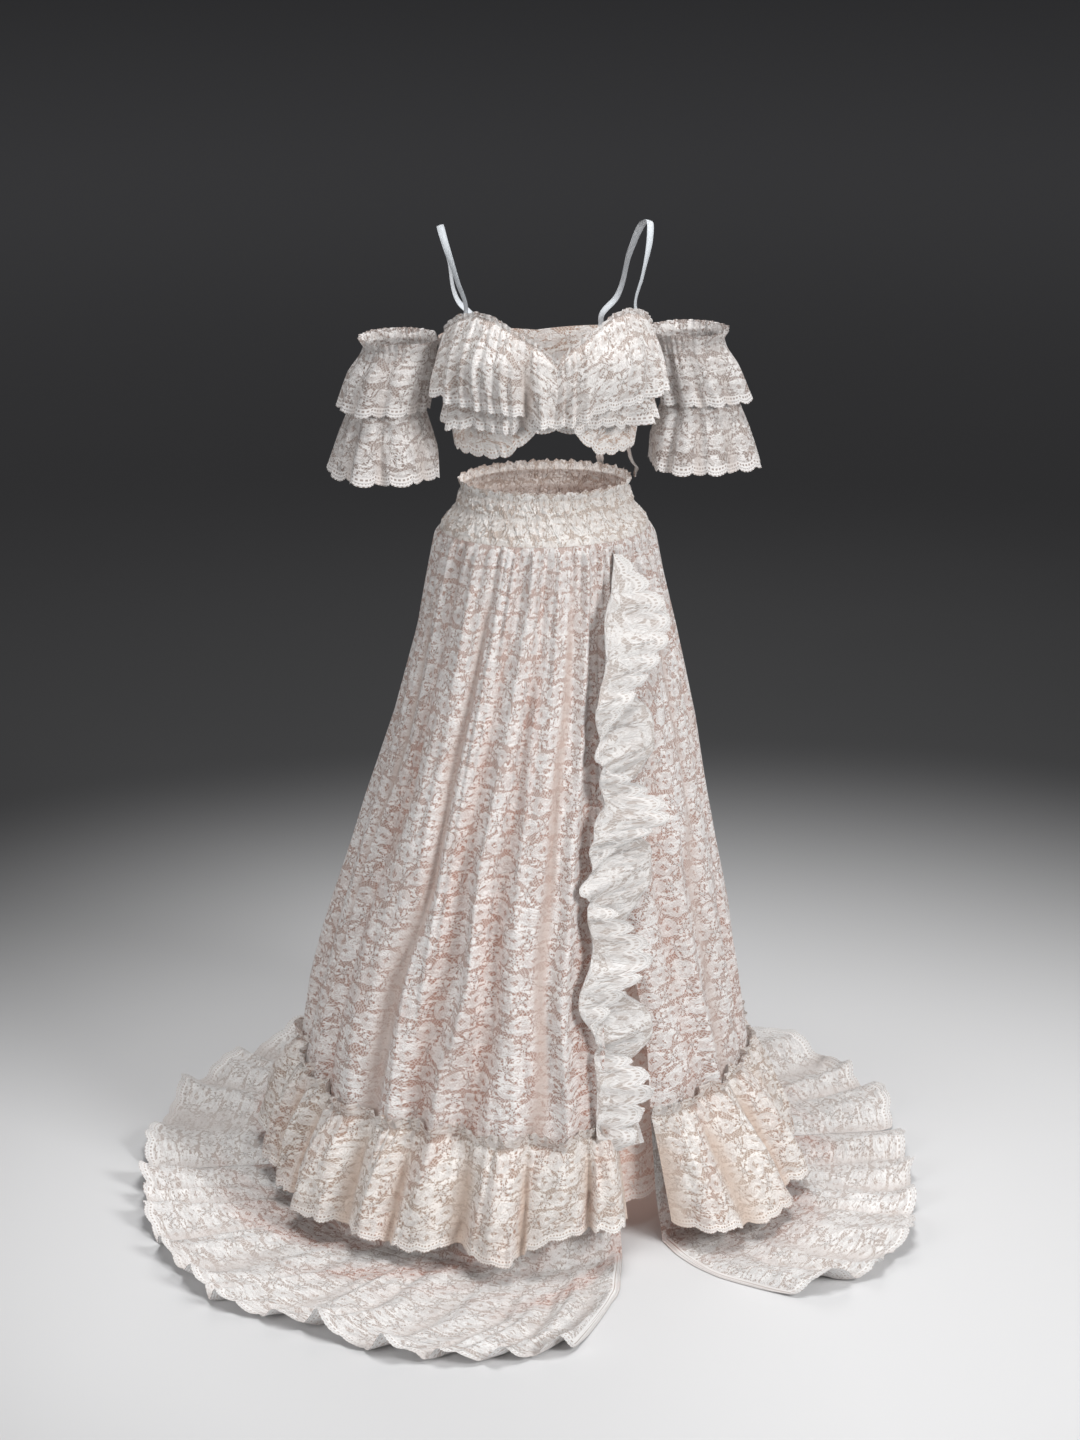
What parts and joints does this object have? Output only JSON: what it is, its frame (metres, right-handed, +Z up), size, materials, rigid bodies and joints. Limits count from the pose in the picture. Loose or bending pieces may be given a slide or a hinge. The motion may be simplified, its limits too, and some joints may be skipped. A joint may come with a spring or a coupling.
{
  "type": "wedding dress",
  "caption": "Two-piece ivory lace wedding dress: off-shoulder ruffled crop top with thin straps, and a long gathered skirt with a ruffled side slit and a round train.",
  "frame": {"origin": "the middle of the wearer's waist, level with the yoke's top edge, where the skirt is held", "axes": "+Z up, -Y the wearer's front, +X the wearer's left, the slit side"},
  "size_m": [1.1691, 1.2031, 1.4388],
  "materials": {
    "lace": "ivory corded floral lace over blush, matt",
    "shirred_lace": "ivory lace shirred over elastic, crinkled, matt",
    "blush_lace": "blush underlayer with an ivory lace surface, matt",
    "satin": "cool white satin ribbon, soft sheen"
  },
  "bodies": {
    "root": {"bodice_front": "lace", "bodice_back": "lace", "bust_ruffle_upper": "lace", "bust_ruffle_lower_right": "lace", "bust_ruffle_lower_left": "lace", "sleeve_upper_right": "lace", "sleeve_lower_right": "lace", "sleeve_upper_left": "lace", "sleeve_lower_left": "lace", "strap_right": "satin", "strap_left": "satin", "tie_tail_1": "lace", "tie_tail_2": "lace", "yoke_front": "shirred_lace", "yoke_back": "shirred_lace", "skirt_front": "lace", "skirt_side": "lace", "skirt_back": "lace", "slit_ruffle": "lace", "hem_ruffle_front": "lace", "hem_ruffle_side": "lace", "hem_ruffle_back": "lace", "train_front": "lace", "train_side": "lace", "train_back": "lace", "underskirt": "blush_lace"}
  },
  "joints": []
}
